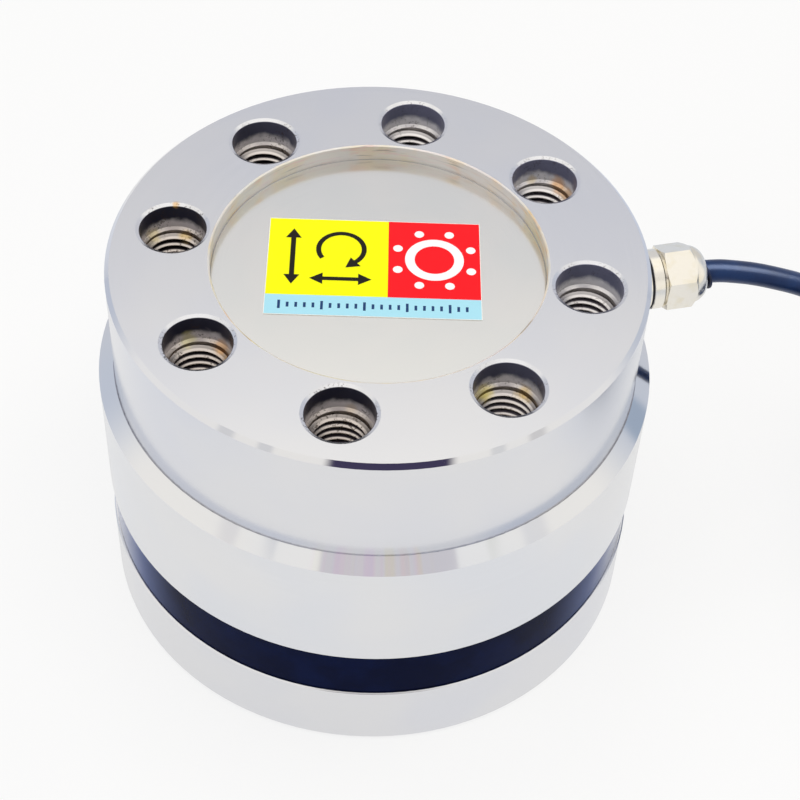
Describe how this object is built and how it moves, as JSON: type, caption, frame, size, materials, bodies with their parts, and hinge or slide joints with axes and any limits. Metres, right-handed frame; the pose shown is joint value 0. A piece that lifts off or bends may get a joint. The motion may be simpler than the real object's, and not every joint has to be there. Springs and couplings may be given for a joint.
{
  "type": "force torque sensor",
  "caption": "Short round flange sensor for axial force and torque, with tapped holes in both faces, a recessed cover, a soft seal band and a side cable gland.",
  "frame": {"origin": "centre of the lower mounting face, at the middle of its bolt circle", "axes": "+Z along the measuring axis, from the lower mounting face to the upper one; +X towards the cable gland"},
  "size_m": [0.2776, 0.1514, 0.0975],
  "materials": {
    "turned_steel": "turned and ground alloy steel, nickel plated",
    "sleeve_steel": "turned steel, nickel plated, polished",
    "cover_steel": "fine matt steel",
    "soft_ring": "smooth dark blue-black silicone rubber",
    "o_ring": "black nitrile rubber",
    "label_print": "printed film in yellow, red and pale blue, no words",
    "gauge_foil": "polyimide foil gauge",
    "lead_enamel": "enamelled copper wire",
    "board_laminate": "green solder mask on glass laminate",
    "resistor_body": "lacquered resistor",
    "spacer_brass": "turned brass",
    "screw_steel": "zinc-plated steel",
    "core_insulation": "coloured PVC insulation with tinned ends",
    "cable_jacket": "navy blue polyurethane",
    "clamp_nylon": "black nylon",
    "gland_nickel": "nickel-plated brass",
    "gland_rubber": "black rubber",
    "tie_nylon": "black nylon strap",
    "end_sleeve_film": "black shrink sleeve"
  },
  "bodies": {
    "root": {"elastic_body": "turned_steel", "cover_sleeve": "sleeve_steel", "sleeve_o_ring": "o_ring", "sealing_ring": "soft_ring", "top_cover_plate": "cover_steel", "top_cover_o_ring": "o_ring", "label": "label_print", "bottom_cover_plate": "cover_steel", "bottom_cover_o_ring": "o_ring", "torque_gauges": "gauge_foil", "thrust_gauges": "gauge_foil", "gauge_leads": "lead_enamel", "terminal_board": "board_laminate", "trim_resistors": "resistor_body", "board_spacers": "spacer_brass", "board_screws": "screw_steel", "signal_wires": "core_insulation", "inner_cable": "cable_jacket", "cable_clamp": "clamp_nylon", "clamp_screws": "screw_steel", "gland_lock_ring": "gland_nickel", "gland_o_ring": "o_ring", "gland_body": "gland_nickel", "gland_claw": "clamp_nylon", "gland_seal": "gland_rubber", "gland_dome_nut": "gland_nickel", "sensor_cable": "cable_jacket", "cable_coil": "cable_jacket", "cable_tie": "tie_nylon", "cable_end_sleeve": "end_sleeve_film", "cable_cores": "core_insulation"}
  },
  "joints": []
}
